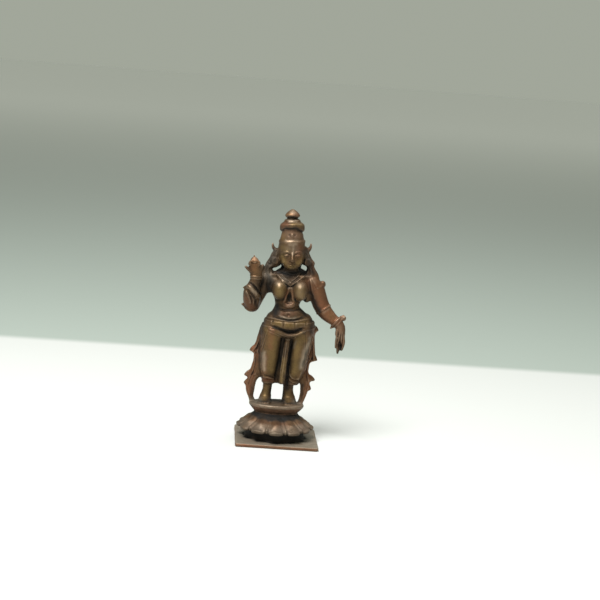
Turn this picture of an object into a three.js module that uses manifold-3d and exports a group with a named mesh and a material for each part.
// Standing goddess, a consort figure from a south Indian household shrine, cast solid in copper alloy
// in one piece with her dish, her lotus and the square plate under it.
// Millimetres, +Z up, the figure faces -Y, origin in the middle of the plate's underside.
// "Left" and "right" are the viewer's, from the front: left is -X.

import * as THREE from "three";
import { mergeVertices } from "three/addons/utils/BufferGeometryUtils.js";
import Module from "manifold-3d";

const wasm = await Module();
wasm.setup();

// Driving dimensions: the whole height, the plate, and the levels that divide the height.
const HEIGHT = 100;
const PLATE_SIDE = 35.4;
const PLATE_THICKNESS = 1.5;
const LOTUS_RADIUS = 16.6;
const LEVEL = {
  petalTip: 6.3,
  lotusNeck: 11.8,
  dishTop: 16.2,
  hem: 24.4,
  hip: 50,
  waist: 58.8,
  bust: 65.9,
  shoulder: 68.8,
  chin: 74.7,
  diadem: 86.2,
  brim: 92,
};
const LOTUS_X = -0.7; // the lotus stands a little left of the plate's middle
const BODY_X = 1.3; // and the body leans back to the right of it
const HEAD_LEAN = THREE.MathUtils.degToRad(-3.1); // the crown tips over to the left

const TURN = 2 * Math.PI;
const point = (x, y, z) => new THREE.Vector3(x, y, z);
const mix = THREE.MathUtils.lerp;
const smooth = THREE.MathUtils.smoothstep;

// Solids

// One closed solid of a geometry, whichever way its faces were wound.
function solid(geometry) {
  const bare = geometry.index ? geometry.toNonIndexed() : geometry.clone();
  bare.deleteAttribute("normal");
  bare.deleteAttribute("uv");
  const merged = mergeVertices(bare, 1e-4);
  const at = merged.attributes.position;
  const corners = [];
  for (let i = 0; i < merged.index.count; i += 3) {
    const [a, b, c] = [0, 1, 2].map((k) => merged.index.getX(i + k));
    if (a !== b && b !== c && c !== a) corners.push([a, b, c]);
  }
  const [p, q, r] = [point(), point(), point()];
  const volume = corners.reduce((sum, [a, b, c]) => {
    p.fromBufferAttribute(at, a);
    q.fromBufferAttribute(at, b);
    r.fromBufferAttribute(at, c);
    return sum + p.dot(q.cross(r));
  }, 0);
  const facing = volume < 0 ? corners.map(([a, b, c]) => [a, c, b]) : corners;
  return new wasm.Manifold(
    new wasm.Mesh({
      numProp: 3,
      vertProperties: at.array,
      triVerts: new Uint32Array(facing.flat()),
    }),
  );
}

// The skin over a row of rings that have the same number of points, closed by a fan at each end.
function skin(rings, firstPole, lastPole) {
  const middle = (ring) =>
    ring.reduce((sum, p) => sum.add(p), point(0, 0, 0)).divideScalar(ring.length);
  const sides = rings[0].length;
  const points = [...rings.flat(), firstPole ?? middle(rings[0]), lastPole ?? middle(rings.at(-1))];
  const [first, last] = [points.length - 2, points.length - 1];
  const faces = [];
  for (let j = 0; j < sides; j++) {
    const next = (j + 1) % sides;
    const top = (rings.length - 1) * sides;
    for (let at = 0; at < top; at += sides) {
      faces.push(at + j, at + next, at + sides + next, at + j, at + sides + next, at + sides + j);
    }
    faces.push(first, next, j, last, top + j, top + next);
  }
  const geometry = new THREE.BufferGeometry().setFromPoints(points);
  geometry.setIndex(faces);
  return solid(geometry);
}

// A form built up of flat ovals. Each row is [z, x, half width, y, half depth].
// Power 2 is an ellipse, and more makes it squarer.
function stack(rows, { sides = 16, power = 2 } = {}) {
  const bend = (c) => Math.sign(c) * Math.abs(c) ** (2 / power);
  return skin(
    rows.map(([z, x, halfWidth, y, halfDepth]) =>
      Array.from({ length: sides }, (_, j) => {
        const turn = ((j + 0.5) / sides) * TURN;
        return point(x + halfWidth * bend(Math.cos(turn)), y + halfDepth * bend(Math.sin(turn)), z);
      }),
    ),
  );
}

// A round-ended form along a path. Each row is [x, y, z, half size across, half size through],
// and across is the direction that the first half size is measured in.
function limb(rows, { sides = 8, across = point(1, 0, 0) } = {}) {
  const at = ([x, y, z]) => point(x, y, z);
  const ringAt = (i, shift, shrink) => {
    const ends = [rows[Math.max(i - 1, 0)], rows[Math.min(i + 1, rows.length - 1)]];
    const along = at(ends[1]).sub(at(ends[0])).normalize();
    const side = across.clone().addScaledVector(along, -along.dot(across)).normalize();
    const through = point().crossVectors(along, side);
    const [, , , wide, deep] = rows[i];
    const centre = at(rows[i]).addScaledVector(along, shift * Math.min(wide, deep));
    const ring = Array.from({ length: sides }, (_, j) => {
      const turn = (j / sides) * TURN;
      return centre
        .clone()
        .addScaledVector(side, wide * shrink * Math.cos(turn))
        .addScaledVector(through, deep * shrink * Math.sin(turn));
    });
    return { ring, centre };
  };
  const last = rows.length - 1;
  const round = TURN / 8; // how far round each end the last ring stands
  const [shift, shrink] = [Math.sin(round), Math.cos(round)];
  const rings = rows.map((_, i) => ringAt(i, 0, 1).ring);
  return skin(
    [ringAt(0, -shift, shrink).ring, ...rings, ringAt(last, shift, shrink).ring],
    ringAt(0, -1, 0).centre,
    ringAt(last, 1, 0).centre,
  );
}

// A cord or a finger: one thickness along some points.
const cord = (points, radius, sides = 5) =>
  limb(points.map((p) => [...p, radius, radius]), { sides, across: point(0, 1, 0.2) });

// A pointed tongue, such as the flying end of a ribbon, from its root to its tip.
function tongue(root, tip, halfWidth, halfDepth, across) {
  const rows = [
    [...root, halfWidth, halfDepth],
    [...root.map((c, i) => mix(c, tip[i], 0.55)), halfWidth * 0.6, halfDepth * 0.8],
    [...tip, 0.2, 0.25],
  ];
  return limb(rows, { sides: 5, across });
}

// An ellipsoid.
function ball([x, y, z], [halfWidth, halfDepth, halfHeight], sides = 10) {
  const geometry = new THREE.SphereGeometry(1, sides, Math.round(sides * 0.6));
  geometry.rotateX(TURN / 4).scale(halfWidth, halfDepth, halfHeight).translate(x, y, z);
  return solid(geometry);
}

// A band round a limb: its middle, the limb's direction there, and the band's radii.
function bangle([x, y, z], direction, radius, thickness, squash = 1) {
  const geometry = new THREE.TorusGeometry(radius, thickness, 4, 12);
  geometry.scale(1, squash, 1);
  const turn = new THREE.Quaternion().setFromUnitVectors(point(0, 0, 1), direction.normalize());
  geometry.applyQuaternion(turn).translate(x, y, z);
  return solid(geometry);
}

// The plate and the lotus

function plate() {
  const worn = 0.35; // the arris is worn round
  const half = PLATE_SIDE / 2;
  const ring = (z, inset) =>
    Array.from({ length: 12 }, (_, j) => {
      const corner = Math.floor(j / 3) * 3 + 1;
      const turn = (corner / 12) * TURN + TURN / 24;
      const [sx, sy] = [Math.sign(Math.cos(turn)), Math.sign(Math.sin(turn))];
      const arc = turn + ((j % 3) - 1) * (TURN / 8);
      const [reach, round] = [half - 0.8, 0.8 - inset];
      return point(sx * reach + round * Math.cos(arc), sy * reach + round * Math.sin(arc), z);
    });
  return skin([
    ring(0, worn / 2),
    ring(worn, 0),
    ring(PLATE_THICKNESS - worn, 0),
    ring(PLATE_THICKNESS, worn),
  ]);
}

// Twelve broad petals and the points of twelve more between them hang round a drum, open underneath.
function lotus() {
  const petals = 12;
  const reach = LOTUS_RADIUS;
  // Across a petal, in degrees from its middle: the rim's radius, and how full the petal is there.
  const outline = [
    [-15, reach - 0.8, 0.35],
    [-12.4, reach - 2.1, -0.2],
    [-8, reach - 0.5, 0.7],
    [0, reach, 1],
    [8, reach - 0.5, 0.7],
    [12.4, reach - 2.1, -0.2],
  ];
  // Down a petal from the neck: the share of the way out, the level, and how much it swells there.
  const slope = [
    [0, LEVEL.lotusNeck, 0.1],
    [0.3, LEVEL.lotusNeck - 1.8, 0.6],
    [0.62, LEVEL.petalTip + 1.9, 1],
    [0.88, LEVEL.petalTip + 0.5, 0.9],
    [1, LEVEL.petalTip, 0.35],
    [0.97, LEVEL.petalTip - 0.55, 0],
  ];
  const neck = { wide: 9.4, deep: 7.6 };
  const drum = { radius: 12.4, top: LEVEL.petalTip + 1 };
  const ring = (place) =>
    Array.from({ length: petals }, (_, petal) =>
      outline.map(([degrees, rim, full]) => {
        const turn = (petal / petals - 0.25) * TURN + THREE.MathUtils.degToRad(degrees);
        const [radius, z] = place(turn, rim, full);
        return point(LOTUS_X + radius * Math.cos(turn), radius * Math.sin(turn), z);
      }),
    ).flat();
  const skirt = slope.map(([out, z, swell]) =>
    ring((turn, rim, full) => {
      const start = Math.hypot(neck.wide * Math.cos(turn), neck.deep * Math.sin(turn));
      const tip = (1 - full) * 0.5 * out;
      return [mix(start, rim, out), z + swell * (full - 0.4) + tip];
    }),
  );
  return skin([
    ...skirt,
    ring((turn, rim) => [drum.radius + 0.35 * (rim - drum.radius), drum.top]),
    ring(() => [drum.radius, drum.top]),
    ring(() => [drum.radius, PLATE_THICKNESS / 2]),
  ]);
}

// The waisted dish that she stands on, wider than it is deep.
function dish() {
  const [wide, deep] = [11.8, 7.7];
  const shares = [
    [LEVEL.lotusNeck - 0.6, 0.79],
    [LEVEL.lotusNeck + 0.9, 0.79],
    [LEVEL.lotusNeck + 1.6, 0.85],
    [LEVEL.dishTop - 1.7, 0.95],
    [LEVEL.dishTop - 0.6, 1],
    [LEVEL.dishTop, 0.965],
  ];
  const rows = shares.map(([z, share]) => [z, LOTUS_X, wide * share, 0, deep * share]);
  return stack(rows, { sides: 26 });
}

// Feet, legs and skirt

// Each foot: the ankle's place, how far the toes turn out, the ankle's radius and the half width.
const FEET = [
  { ankle: -5, toeOut: -1.1, ankleRadius: 1.9, halfWidth: 2.7 },
  { ankle: 3.8, toeOut: 1, ankleRadius: 2.2, halfWidth: 2.7 },
];

function foot({ ankle, toeOut, ankleRadius, halfWidth }) {
  const floor = LEVEL.dishTop;
  const sole = [
    [ankle, 4.8, floor + 0.9, 1.6, 1.6],
    [ankle + toeOut * 0.3, 2.2, floor + 1.2, 1.9, 1.8],
    [ankle + toeOut * 0.8, -0.8, floor + 0.7, halfWidth * 0.95, 1.3],
    [ankle + toeOut, -2.9, floor + 0.3, halfWidth, 0.85],
  ];
  const shin = [
    [floor + 0.4, ankle + toeOut * 0.2, ankleRadius * 1.15, 2.6, 2.4],
    [floor + 3, ankle, ankleRadius, 2.8, 2],
    [floor + 6, ankle, ankleRadius * 1.05, 2.6, 2.1],
    [LEVEL.hem + 1.5, ankle, ankleRadius * 1.15, 2.2, 2.4],
  ];
  return [limb(sole, { sides: 10 }), stack(shin, { sides: 12 })];
}

// The cloth drawn tight over both legs, with the pleat that hangs between them.
// Each row: the level; the left thigh's middle, half width and half depth; the same for the right;
// and the pleat's middle, its half width, and how far its crest stands forward.
const SKIRT = [
  [LEVEL.hem, -4.7, 2.5, 2.5, 4.8, 2.9, 2.5, 0.8, 1.5, 3.9],
  [LEVEL.hem + 0.9, -4.8, 3.1, 3.1, 5.3, 3.4, 3.1, 0.8, 1.5, 4.4],
  [28, -5.1, 3.5, 3.6, 6.2, 3.6, 3.6, 0.9, 1.35, 4.4],
  [32, -5.2, 4, 4.3, 6.9, 3.9, 4.3, 1, 1.2, 3.9],
  [37, -5.1, 4.4, 5.1, 7.3, 4.2, 5.1, 1.2, 1.1, 4.2],
  [42, -4.9, 4.8, 5.6, 7.6, 4.6, 5.6, 1.7, 1, 4.7],
  [46.5, -4.4, 5.4, 6, 7.5, 5.2, 6, 2.2, 1.3, 5.2],
  [49, -3.7, 6, 6.2, 6.9, 5.9, 6.2, 2.2, 1.6, 5.8],
];

function skirt() {
  const around = [-135, -108, -80, -52, -24, 4, 32, 60, 85].map(THREE.MathUtils.degToRad);
  const ring = ([z, leftX, leftWide, leftDeep, rightX, rightWide, rightDeep, pleatX, pleat, crest]) => {
    const back = mix(1.8, 0.4, smooth(z, LEVEL.hem, 31)); // the shins stand back under the knees
    const right = around.map((a) =>
      point(rightX + rightWide * Math.cos(a), back + rightDeep * Math.sin(a), z),
    );
    const left = around
      .map((a) => point(leftX - leftWide * Math.cos(a), back + leftDeep * Math.sin(a), z))
      .reverse();
    const front = (share, y) => point(pleatX + share * pleat, y, z);
    const valley = back - Math.min(leftDeep, rightDeep) * 0.4;
    const hollow = back + Math.min(leftDeep, rightDeep) * 0.75;
    return [
      ...right,
      point(pleatX, hollow, z),
      ...left,
      front(-1.35, valley),
      front(-0.75, back - crest + 0.4),
      front(0, back - crest),
      front(0.75, back - crest + 0.4),
      front(1.35, valley),
    ];
  };
  // The edge of the outer cloth, which falls across the right thigh.
  const fold = [
    [12.1, -1.2, 45],
    [11.4, -2.2, 41],
    [10.3, -2.9, 36.6],
    [9, -3, 32],
    [7.5, -2, 27.2],
  ];
  return [skin(SKIRT.map(ring)), cord(fold, 0.62)];
}

// The sashes at her sides: pleated ribbons from hip to dish, whose edges flick outwards.
// Each row: the level, the outer edge and the inner edge.
const SASHES = [
  [
    [50, -9.6, -5],
    [45, -10.8, -6.5],
    [40.2, -12, -7.6],
    [37.8, -13.9, -8],
    [36.8, -11.9, -8.1],
    [33, -12.1, -7.9],
    [29.2, -13.2, -7.6],
    [27.2, -15.4, -8.2],
    [25.8, -13.9, -10.2],
    [23.7, -15.3, -11],
    [21, -14.2, -11.2],
    [18, -13, -11.6],
    [15.5, -12, -10],
  ],
  [
    [50, 13.2, 8],
    [48.2, 15, 8.3],
    [45.5, 13.7, 9],
    [40, 14.2, 9.6],
    [36.6, 14.6, 9.8],
    [35.1, 15.4, 9.8],
    [34, 12.4, 9.2],
    [30, 12.1, 8.6],
    [28.1, 12.8, 8.2],
    [26.9, 15.1, 8],
    [25.6, 12.9, 8.9],
    [22.8, 13.7, 9.8],
    [21, 12.1, 9.8],
    [18, 11.2, 9.6],
    [15.5, 10, 8.4],
  ],
];

function sash(edges) {
  const ring = ([z, outer, inner]) => {
    const y = mix(1.1, 2.6, smooth(z, 16, 44)) - 0.5 * smooth(z, 44, 50);
    const half = mix(0.75, 1.5, smooth(z, 18, 46));
    const at = (share, off) => point(mix(outer, inner, share), y + off * half, z);
    return [
      at(0, -0.1),
      at(0.22, -1.1),
      at(0.42, -0.3),
      at(0.64, -1.1),
      at(1, -0.2),
      at(0.8, 0.9),
      at(0.25, 0.9),
    ];
  };
  return skin(edges.map(ring));
}

// The body

function torso() {
  const rows = [
    [46, 1.6, 10.6, 0.6, 5.9],
    [48.5, 1.8, 11.3, 0.5, 6.5],
    [49.6, 2, 11.4, 0.2, 7],
    [51.4, 2.1, 10.7, 0.1, 7.2],
    [53, 2.2, 9.8, 0.1, 6.7],
    [53.5, 2.2, 9.3, 0.1, 6],
    [55.2, 1.9, 8.1, -0.3, 5.6],
    [57, 1.3, 6.5, -0.1, 4.6],
    [LEVEL.waist, 0.5, 5, 0.2, 3.8],
    [60.6, 0.9, 5.7, 0.4, 4],
    [63.4, 1.2, 7.3, 0.5, 4.5],
    [67, BODY_X, 9.2, 0.6, 4.6],
    [70, BODY_X, 9.8, 0.7, 3.9],
    [71.8, BODY_X, 7.6, 0.8, 3.3],
    [72.8, BODY_X, 3.9, 0.6, 2.9],
    [74.5, BODY_X, 3.2, 0.3, 2.8],
    [77.5, BODY_X, 3.2, 0.2, 2.8],
  ];
  const breast = (x) => ball([x, -4, LEVEL.bust], [3.15, 4.3, 4.3], 12);
  // The flesh beside each breast, which runs into the arm.
  const armpits = [
    [[-7.5, 1.2, 67.5, 2.2, 2.4], [-7.7, 1.2, 64.9, 1.6, 2.1]],
    [[8.2, 1.2, 67, 2.6, 2.6], [8.7, 1.3, 64.2, 2.3, 2.3], [8.8, 1.3, 62.7, 1.8, 2]],
  ];
  return [
    stack(rows, { sides: 20, power: 2.2 }),
    breast(-3.2),
    breast(5.6),
    ...armpits.map((rows) => limb(rows)),
  ];
}

// The thick edge of the cloth under the belly, and the collar on the chest.
function borders() {
  const swag = [-4.8, -1.4, 2.2, 5.8, 9.4].map((x) => {
    const off = (x - 2.2) / 7;
    return [x, -6.1 + 1 * off * off, 46.6 + 2.6 * off * off];
  });
  const collar = [-4.2, -1.6, BODY_X, 4.2, 6.8].map((x) => {
    const off = Math.abs(x - BODY_X) / 5.5;
    return [x, -4.2 + 1.6 * off * off, 68.3 + 3.4 * off];
  });
  return [cord(swag, 0.75), cord(collar, 0.6)];
}

// Arms and hands

// Left: the arm is bent up, and the hand holds a lotus bud beside the shoulder.
function raisedArm() {
  const upper = [
    [-8.4, 0.9, LEVEL.shoulder + 0.3, 3.3, 3.3],
    [-10.5, 1.3, 65, 3, 3.1],
    [-12.4, 1.6, 61, 2.9, 2.9],
    [-14, 1.6, 57.4, 3, 2.8],
  ];
  const forearm = [
    [-14.2, 1, 57.6, 3.2, 3],
    [-14.6, -1, 60.4, 3.6, 3.1],
    [-14.8, -2.7, 64, 3.7, 2.9],
    [-14.2, -3.8, 67, 2.7, 2.4],
    [-13.5, -4.6, 69.6, 2.45, 2],
    [-13.5, -4.8, 71.2, 2.6, 1.9],
    [-13.7, -5.1, 72.6, 2.75, 1.6],
    [-14.1, -5.5, 74.2, 3.4, 1.4],
    [-14.2, -5.8, 75.8, 2.4, 1.2],
  ];
  const fingers = [
    [[-16, -6, 73.4], [-17.2, -6.2, 74.2], [-18.1, -6.1, 74.9]],
    [[-15.4, -6.2, 75.4], [-16.4, -6.9, 76.8], [-15.6, -7.1, 78]],
    [[-12.2, -5.6, 73.6], [-11.3, -5.6, 74.8], [-10.8, -5.3, 75.8]],
    [[-13.2, -6.2, 75.4], [-12.9, -7.2, 76.8], [-13.6, -7.4, 78]],
  ];
  const bud = [
    [75.2, -14.4, 1.1, -5.9, 1],
    [76.4, -14.6, 1.95, -5.9, 1.7],
    [77.8, -14.7, 2.05, -5.9, 1.9],
    [78.9, -14.8, 1.4, -5.9, 1.4],
    [79.3, -14.9, 0.65, -5.9, 0.65],
    [80.4, -15.1, 0.25, -5.9, 0.25],
  ];
  const up = point(0.1, -0.7, 1);
  return [
    limb(upper, { sides: 10 }),
    limb(forearm, { sides: 10 }),
    ...fingers.map((path) => cord(path, 0.7)),
    stack(bud, { sides: 8 }),
    tongue([-16.8, -2.2, 65.4], [-18.5, -2, 65.4], 1.5, 0.9, up),
    tongue([-16.4, 0.8, 57.6], [-18.6, 0.4, 57.9], 1.4, 0.9, up),
  ];
}

// Right: the arm hangs away from the body, and the hand falls from the wrist.
function hangingArm() {
  const arm = [
    [10.4, 0.9, LEVEL.shoulder + 0.2, 3.4, 3.4],
    [12.4, 1, 66.6, 3.6, 3.3],
    [13.6, 1.2, 63.4, 3.6, 3.2],
    [14.9, 1.3, 60.2, 3.6, 3],
    [16.7, 1.1, 57.3, 3.3, 2.8],
    [18.9, 0.5, 55.2, 2.9, 2.6],
    [21.1, -0.2, 53.7, 2.4, 2.2],
    [22.7, -0.6, 52.9, 2.1, 2],
  ];
  const hand = [
    [22.6, -0.6, 53, 2.1, 1.7],
    [23.9, -0.9, 51, 2.15, 1.6],
    [24.3, -1, 48.4, 2, 1.3],
    [24.3, -1, 45.6, 1.9, 1.05],
  ];
  const fingers = [
    [[23.1, -1.6, 47], [22.8, -2, 44.4], [22.8, -1.8, 42.1]],
    [[25.3, -1.1, 46], [25.8, -1.1, 43.2], [25.3, -0.7, 41.1]],
    [[24.1, -0.4, 45.4], [23.9, 0.2, 42.4], [23.8, 0.5, 39.5]],
  ];
  return [
    limb(arm, { sides: 10 }),
    limb(hand, { sides: 8 }),
    ...fingers.map((path) => cord(path, 0.82)),
    ball([15.1, 0.9, 68.8], [1.4, 1.3, 1.6], 8),
    bangle([22.3, -0.5, 53.2], point(1, -0.2, -0.85), 2.45, 0.5),
    ball([25.2, -0.8, 54.9], [0.9, 0.9, 1.1], 7),
    tongue([23.6, -0.6, 54.2], [25, -0.8, 56.2], 1.1, 0.9, point(1, 0, -1)),
    tongue([21, -0.5, 51.4], [19.8, -0.5, 50.2], 0.8, 0.8, point(1, 0, -1)),
  ];
}

// Head, crown and hair: modelled upright over the chin, then leant over together

function head() {
  const skull = [
    [0, 0, 1.7, -2.8, 1.7],
    [0.9, 0, 3.2, -1.8, 3.3],
    [2.4, 0, 4.5, -0.6, 4.9],
    [4.6, 0, 5.4, 0, 5.8],
    [7.4, 0, 5.65, 0.2, 5.9],
    [10.4, 0, 5.45, 0.2, 5.6],
    [12.4, 0, 5.1, 0.2, 5.1],
  ];
  const nose = [
    [0, -5.5, 7.4, 0.5, 0.8],
    [0, -6.1, 5.6, 0.65, 0.8],
    [0, -6.4, 4.3, 0.95, 0.7],
  ];
  return [stack(skull, { sides: 18 }), limb(nose, { sides: 5 })];
}

// The tall crown: band, drum, arched brim, cap and bud-shaped finial.
function crown() {
  const base = LEVEL.chin;
  const [band, brim] = [LEVEL.diadem - base, LEVEL.brim - base];
  const top = HEIGHT - base;
  const profile = [
    [5.3, band - 1.2],
    [5.55, band - 0.8],
    [5.4, band + 0.3],
    [5, band + 0.6],
    [4.35, brim - 1.8],
    [5.1, brim - 1.4],
    [5.3, brim - 0.4],
    [5.15, brim + 1.4],
    [4.4, brim + 2],
    [3.5, brim + 2.4],
    [3.3, top - 4.6],
    [2.3, top - 4.2],
    [2.3, top - 3.6],
    [3.2, top - 2.8],
    [2.7, top - 1.9],
    [1, top - 0.6],
    [0.3, top],
  ];
  const arch = (z) => 1.6 * Math.max(0, 1 - Math.abs(z - brim + 0.9) / 3.6);
  const sides = 16;
  const rings = profile.map(([radius, z]) =>
    Array.from({ length: sides }, (_, j) => {
      const turn = (j / sides) * TURN;
      const rise = arch(z) * Math.sin(turn) ** 2; // higher at the front and back than at the sides
      return point(radius * Math.cos(turn), radius * Math.sin(turn), z + rise);
    }),
  );
  return skin(rings);
}

// At each side of the head: a leaf over the ear, and the ear's heavy ring and the locks behind it,
// which reach the shoulder and leave a hole beside the neck. Rows as in stack, from the outside in.
const LOCKS = [
  [
    [8.2, 6.7, 5.2],
    [7.3, 7.6, 4.8],
    [5.8, 8.7, 4.6],
    [4.2, 9.4, 4.4],
    [2.3, 10.5, 4.2],
    [1.1, 11.2, 6],
    [0.3, 11.4, 8],
    [-0.7, 11.7, 8.5],
    [-1.4, 11.9, 8],
    [-3, 11.9, 7.6],
  ],
  [
    [9, 6.3, 5],
    [7.3, 7.1, 4.6],
    [5, 8, 4.2],
    [3, 9, 4],
    [1.9, 9.9, 4.6],
    [1.2, 9.5, 5.6],
    [0.2, 9.9, 6.6],
    [-1, 10.4, 6.4],
    [-2.8, 11.4, 6],
  ],
];

function sideOfHead(side, rows) {
  const leaf = [
    [side * 6.2, 1, 6.8, 1.1, 0.9],
    [side * 7.6, 0.8, 8.2, 0.85, 0.8],
    [side * 8.1, 0.7, 9.6, 0.6, 0.6],
    [side * 8, 0.7, 10.8, 0.25, 0.3],
  ];
  const ring = [side * 5.9, -0.4, 3];
  const locks = rows.map(([z, outer, inner]) => {
    return [z, (side * (outer + inner)) / 2, (outer - inner) / 2, 1.1, 1.9];
  });
  return [limb(leaf, { sides: 5 }), ball(ring, [1.5, 1.3, 1.5], 7), stack(locks, { sides: 8 })];
}

// The hair at the nape, in locks that fall on to the back of the shoulders.
function nape() {
  const locks = 7;
  const perLock = 3;
  const rows = [
    [9, 5.2, 2.2, 4.2, 0.1],
    [5, 5.2, 2.3, 4, 0.4],
    [2.4, 4.4, 2.4, 3.6, 0.5],
    [0.9, 3.7, 2.4, 3.2, 0.5],
    [-0.8, 3.8, 2.4, 3, 0.5],
    [-2.4, 6, 2.5, 3, 0.6],
    [-4.6, 8, 2.4, 3, 0.55],
    [-6, 7.4, 1.8, 2.6, 0.3],
  ];
  const rings = rows.map(([z, halfWidth, y, halfDepth, groove]) => {
    const back = Array.from({ length: locks * perLock + 1 }, (_, j) => {
      const turn = (j / (locks * perLock)) * (TURN / 2);
      const [x, depth] = [halfWidth * Math.cos(turn), halfDepth * Math.sin(turn)];
      const sunk = j % perLock === 0 ? groove : 0;
      return point(x * (1 - sunk * 0.06), y + depth - sunk, z);
    });
    return [...back, point(-halfWidth * 0.7, y - 1.2, z), point(halfWidth * 0.7, y - 1.2, z)];
  });
  return skin(rings);
}

// The whole casting

function lean(parts) {
  const place = new THREE.Matrix4()
    .makeTranslation(BODY_X, 0.1, LEVEL.chin)
    .multiply(new THREE.Matrix4().makeRotationY(HEAD_LEAN));
  return parts.map((part) => part.transform(place.elements));
}

const parts = [
  plate(),
  lotus(),
  dish(),
  ...FEET.flatMap(foot),
  ...skirt(),
  ...SASHES.map(sash),
  ...torso(),
  ...borders(),
  ...raisedArm(),
  ...hangingArm(),
  ...lean([...head(), crown(), ...sideOfHead(-1, LOCKS[0]), ...sideOfHead(1, LOCKS[1]), nape()]),
];
const casting = parts.reduce((whole, part) => whole.add(part)).getMesh();

const geometry = new THREE.BufferGeometry();
geometry.setAttribute("position", new THREE.BufferAttribute(casting.vertProperties, 3));
geometry.setIndex(new THREE.BufferAttribute(casting.triVerts, 1));
geometry.computeVertexNormals();

const bronze = new THREE.MeshStandardMaterial({ color: 0x6b4a35, roughness: 0.45, metalness: 0.85 });
const figure = new THREE.Mesh(geometry, bronze);
figure.name = "consort_figure";

const group = new THREE.Group();
group.add(figure);
export default group;
